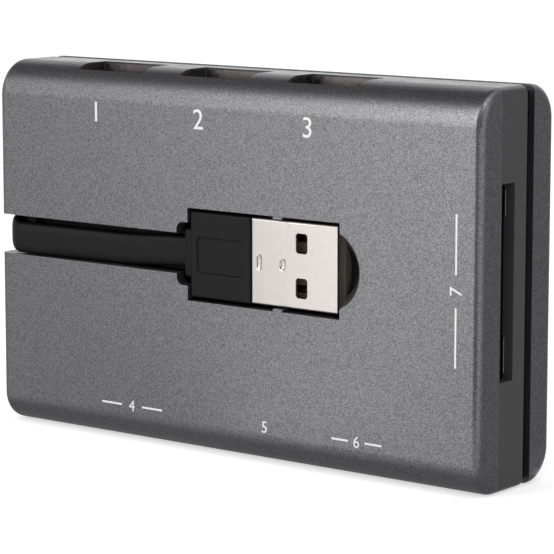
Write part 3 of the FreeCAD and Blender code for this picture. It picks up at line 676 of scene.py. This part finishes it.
# %% [markdown]
# The lead is a flat cable of soft vinyl. From the board it runs out at the left end, turns round the nose of
# the tray in a half circle and lies on the channel's lower wall, until it climbs along half a cosine wave to
# the plug. The hub holds it all the way, so its path is written out and needs no simulation. Its section is a
# superellipse, a rectangle with generous round corners, carried along that path.

# %% Flat lead
bend_radius, bend_x, bend_y = 2.2 * mm, -39.55 * mm, front + 3.7 * mm
bend_steps, run_steps, lead_points = 65, 60, 64
lead_start, neck_x = -33.8 * mm, -8.0 * mm
lead_root = 0.6 * mm                 # length held in the neck
lead_lift = 1.0 * mm                 # the run to the board lies this much higher
lead_rise = math.atan2(1.35, 31.55)  # slope of the channel's floor
lead_drop = 0.55 * mm                # the lead lies this much below the plug's middle
lead_climb = 14.0 * mm               # length over which it rises to the neck
lead_wide, lead_thick, lead_power = 4.5 * mm, 2.0 * mm, 4.0


def lead_rings():
    """Superellipse |a|^n + |b|^n = 1 carried along the run to the board, the half turn and the channel."""
    turned = np.linspace(0, 1, bend_steps)
    angle = turned * (math.pi + lead_rise)
    lift = lead_lift * np.where(turned < 0.5, 1.0, np.sin(np.pi * turned) ** 2)
    out = np.stack([-np.sin(angle), np.cos(angle), np.zeros_like(angle)], -1)
    bend = np.stack([bend_x - bend_radius * np.sin(angle), bend_y + bend_radius * np.cos(angle),
                     park + lift], -1)
    start = bend[:1] + np.array([lead_start - bend_x, 0.0, 0.0])
    onward = np.array([math.cos(lead_rise), math.sin(lead_rise), 0.0])
    length = (neck_x + lead_root - bend_x) / math.cos(lead_rise)
    reach = np.linspace(0, length, run_steps)[1:]
    run = bend[-1] + onward * reach[:, None]
    path = np.vstack([start, bend, run])
    out = np.vstack([out[:1], out, np.repeat(out[-1:], len(run), axis=0)])
    climbed = np.clip((reach - length + lead_climb) / lead_climb, 0, 1)
    path[:-len(run), 2] -= lead_drop
    path[-len(run):, 2] -= lead_drop * (1 + np.cos(np.pi * climbed)) / 2
    turn = np.linspace(0, 2 * np.pi, lead_points, endpoint=False)
    a = np.sign(np.cos(turn)) * np.abs(np.cos(turn)) ** (2 / lead_power) * lead_thick / 2
    b = np.sign(np.sin(turn)) * np.abs(np.sin(turn)) ** (2 / lead_power) * lead_wide / 2
    rings = path[:, None] + out[:, None] * a[:, None]
    rings[..., 2] += b
    return rings


lead = skin_over("flat_lead", lead_rings(), finishes["black_vinyl"])
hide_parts("lead")

# %% [markdown]
# Overmould, sleeves and lips share one section, a rectangle with round corners. Arcs and straight runs could
# be joined piece by piece; it is shorter to pull every point of a plain rectangle to the same distance from a
# smaller one inside it, and that works for many sections at once.

# %% Rectangle with round corners
def round_rectangle(half_thick, half_wide, radius, counts):
    """Rows of (thick, wide) points: a plain rectangle's, each pulled to one distance from an inner one."""
    front_count, side_count = counts
    wide, thick = (np.linspace(1, -1, n, endpoint=False) for n in (front_count, side_count))
    one_front, one_side = np.ones(front_count), np.ones(side_count)
    unit = np.vstack([np.stack([-one_front, wide], -1), np.stack([-thick, -one_side], -1),
                      np.stack([one_front, -wide], -1), np.stack([thick, one_side], -1)])
    half = np.stack(np.broadcast_arrays(half_thick, half_wide), -1).reshape(-1, 1, 2)
    plain = unit * half
    inner = np.clip(plain, radius - half, half - radius)
    away = plain - inner
    return inner + away * radius / np.linalg.norm(away, axis=-1, keepdims=True)


# %% [markdown]
# The overmould is the part that fingers pull: a block with soft edges, a stepped neck round the lead, fine
# grip ribs on its two narrow sides and a shallow panel in its face. Ribs and panel could be cut with boolean
# solids, which leave ragged faces. Here the section's half sides change from station to station, and panel
# and ribs then push single points in or out.

# %% Plug overmould
plug_y = front + 3.0 * mm            # middle of the plug's thickness
mould_start, mould_end = -6.5 * mm, 4.45 * mm
mould_wide, mould_thick, mould_edge = 6.125 * mm, 2.6 * mm, 0.4 * mm
mould_stations, mould_counts = 200, (110, 30)
neck_wide, neck_thick, neck_edge = 3.5 * mm, 2.0 * mm, 0.3 * mm
edge_steps = 6                       # stations along a quarter-round edge
panel_long, panel_wide, panel_corner = 4.2 * mm, 2.5 * mm, 0.6 * mm     # half sides and corner
panel_deep, panel_soft = 0.25 * mm, 0.15 * mm
rib_first, rib_pitch, rib_count, rib_proud = 3.45 * mm, 0.6 * mm, 8, 0.2 * mm
rib_half, rib_soft = 2.0 * mm, 0.3 * mm          # half length of a rib and the width of its soft end


def overmould_rings():
    """Stations along the plug with quarter-round edges, then the panel pushed in and the ribs pushed out."""
    ease = np.linspace(0, np.pi / 2, edge_steps)
    rise, run = 1 - np.sin(ease), 1 - np.cos(ease)
    middle = np.linspace(mould_start + mould_edge, mould_end - mould_edge, mould_stations)[1:-1]
    x = np.concatenate([neck_x + neck_edge * run, [mould_start], mould_start + mould_edge * run, middle,
                        mould_end - mould_edge * run[::-1]])
    inset = np.concatenate([neck_edge * rise, [0], mould_edge * rise, 0 * middle, mould_edge * rise[::-1]])
    in_neck = np.arange(len(x)) <= len(ease)
    half_wide = np.where(in_neck, neck_wide, mould_wide) - inset
    half_thick = np.where(in_neck, neck_thick, mould_thick) - inset
    section = round_rectangle(half_thick, half_wide, mould_edge, mould_counts)
    x = np.broadcast_to(x[:, None], section.shape[:2])
    y, z = section[..., 0].copy(), section[..., 1].copy()
    beyond = np.stack([np.abs(x - (mould_start + mould_end) / 2) - panel_long, np.abs(z) - panel_wide], -1)
    outside = np.linalg.norm(np.maximum(beyond + panel_corner, 0), axis=-1) - panel_corner
    panel = 1 - soft_step(outside, panel_soft)
    y += np.where(y <= -mould_thick + tiny, panel_deep * panel, 0.0)
    beat = (rib_first - x) / rib_pitch
    rib = 0.5 + 0.5 * np.cos(2 * np.pi * beat)
    rib = rib * (beat > -0.5) * (beat < rib_count - 0.5) * (1 - soft_step(np.abs(y) - rib_half, rib_soft))
    z += np.where(np.abs(z) >= mould_wide - tiny, np.sign(z) * rib_proud * rib, 0.0)
    return np.stack([x, plug_y + y, park + z], -1)


overmould = skin_over("plug_overmould_skin", overmould_rings(), finishes[slots["plug_overmould"]])
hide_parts("plug_overmould")

# %% [markdown]
# A thin steel sleeve lines each port's opening in the top side, so a look from above meets metal and not the
# cut edge of the plastic. Its darkened colour is painted shade for the deep opening. A bent sheet with a
# Solidify modifier would do, but the upper edge has to follow the cover's rounded front edge, a little below
# it. Four rings make it: outside up, over the edge, inside down.

# %% Sleeves in the port openings
port_places = np.array([-22.8, -3.7, 15.4]) * mm
sleeve_depth, sleeve_thick, sleeve_wide = 5.15 * mm, 3.08 * mm, 6.18 * mm
sleeve_sheet, sleeve_corner, sleeve_counts = 0.12 * mm, 0.3 * mm, (40, 30)
sleeve_below, sleeve_foot = 0.25 * mm, 52.2 * mm     # gap under the cover's edge, and height of the lower end

inset = sleeve_sheet * np.array([0, 0, 1, 1])
section = round_rectangle(sleeve_thick - inset, sleeve_wide - inset, sleeve_corner, sleeve_counts)
drop = np.maximum(edge_round - sleeve_depth - section[..., 0], 0)
height = top - sleeve_below - edge_round + np.sqrt(edge_round ** 2 - drop ** 2)
height[[0, 3]] = sleeve_foot
for number, x in enumerate(port_places, 1):
    rings = np.stack([x + section[..., 1], front + sleeve_depth + section[..., 0], height], -1)
    sleeve = skin_over("port_sleeve_%d" % number, rings, finishes["steel"], looped=True)

# %% [markdown]
# In the large card slot a little of the socket's steel shows: two flat lips that guide the card, one at each
# end of its mouth. Bevelled boxes would do as well; with the helpers at hand each lip is three rings, two for
# its wall and a smaller one for the chamfer round its face. They lie on the slot's back wall.

# %% Steel lips in the large card slot
lip_x, slot_wall = 41.2 * mm, front + 7.9 * mm
lip_spans = ((15.6, 20.9), (36.7, 40.6))         # lower and upper end in millimetres
lip_half, lip_corner, lip_counts = 0.28 * mm, 0.15 * mm, (40, 12)
lip_out = np.array([0.0, 0.12, 0.16])[:, None] * mm
lip_inset = np.array([0.0, 0.0, 0.04]) * mm

for number, (low, high) in enumerate(lip_spans, 1):
    section = round_rectangle(lip_half - lip_inset, (high - low) / 2 * mm - lip_inset, lip_corner, lip_counts)
    rings = np.stack(np.broadcast_arrays(lip_x + section[..., 0], slot_wall - lip_out,
                                         (low + high) / 2 * mm + section[..., 1]), -1)
    lip = skin_over("slot_lip_%d" % number, rings, finishes["steel"])

# %% [markdown]
# The print on the cover is a film of white ink. Plain numbers count the three ports and the four card slots,
# and beside three of the slots' numbers fine rules show how wide the slot is. Text could stay a text object;
# here it becomes a mesh at once, so that its place can be written into its points like that of every other
# piece.

# %% Printed marks
ink_film, rule_half = 0.02 * mm, 0.14 * mm
port_row, slot_row, end_column = 47.5 * mm, 5.3 * mm, 39.0 * mm     # z of two rows, x of the upright print
port_size, slot_size, end_size = 2.8 * mm, 1.6 * mm, 1.9 * mm       # heights of the numbers
port_marks = (("1", -23.55), ("2", -4.55), ("3", 14.55))            # number and its x in millimetres
slot_marks = (("4", -17.2), ("5", 7.15), ("6", 23.0))
end_mark = ("7", 27.5)                                              # number and its z
slot_rules = ((-21.0, 3.8), (-13.4, 3.8), (20.2, 2.8), (25.8, 2.8))  # x and length of a rule
end_rules = ((21.3, 8.0), (33.7, 8.0))                              # z and length


def white_ink():
    """Dull white whose tone follows a very fine noise, as thin ink does."""
    material, shader, where = new_finish("white_ink", (0.86, 0.86, 0.85), roughness=0.55)
    fine = grain(material, where, size=0.1 * mm, detail=3.0)
    tint(material, shader, fine, dark=(0.78, 0.78, 0.77), light=(0.90, 0.90, 0.89))
    return material


ink = white_ink()


def lay_on_face(name, flat, faces, x, z, upright):
    """Flat points (right, up, out) laid on the cover at a place, turned a quarter to the left if upright."""
    right, up, out = flat.T
    if upright:
        right, up = -up, right
    mesh = bpy.data.meshes.new(name)
    mesh.from_pydata(np.stack([x + right, front - out, z + up], -1).tolist(), [], faces)
    piece = show(name, mesh, ink)
    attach(piece, "root")


def number_mark(text, x, z, height, upright=False):
    """Number as a thin solid, scaled so that its own height is the one asked for."""
    curve = bpy.data.curves.new("number", "FONT")
    curve.body = text
    curve.extrude = 1.0
    shown = bpy.data.objects.new("number", curve)
    scene.collection.objects.link(shown)
    solid = bpy.data.meshes.new_from_object(shown.evaluated_get(bpy.context.evaluated_depsgraph_get()))
    flat = points_of(solid)
    low, high = flat.min(0), flat.max(0)
    outline = (flat - (low + high) / 2)[:, :2] * height / (high[1] - low[1])
    flat = np.column_stack([outline, flat[:, 2] * ink_film])
    faces = [list(face.vertices) for face in solid.polygons]
    bpy.data.objects.remove(shown)
    bpy.data.meshes.remove(solid)
    lay_on_face("number_" + text, flat, faces, x, z, upright)


def rule_mark(name, x, z, length, upright=False):
    """Fine rule: a flat bar with its eight corners."""
    corners = np.array([[i, j, k] for k in (-1, 1) for j in (-1, 1) for i in (-1, 1)], float)
    faces = [[0, 2, 3, 1], [4, 5, 7, 6], [0, 1, 5, 4], [2, 6, 7, 3], [0, 4, 6, 2], [1, 3, 7, 5]]
    flat = corners * np.array([length / 2, rule_half, ink_film])
    lay_on_face(name, flat, faces, x, z, upright)


for text, x in port_marks:
    number_mark(text, x * mm, port_row, port_size)
for text, x in slot_marks:
    number_mark(text, x * mm, slot_row, slot_size)
number_mark(end_mark[0], end_column, end_mark[1] * mm, end_size, upright=True)
for number, (x, length) in enumerate(slot_rules, 1):
    rule_mark("rule_%d" % number, x * mm, slot_row, length * mm)
for number, (z, length) in enumerate(end_rules, len(slot_rules) + 1):
    rule_mark("rule_%d" % number, end_column, z * mm, length * mm, upright=True)
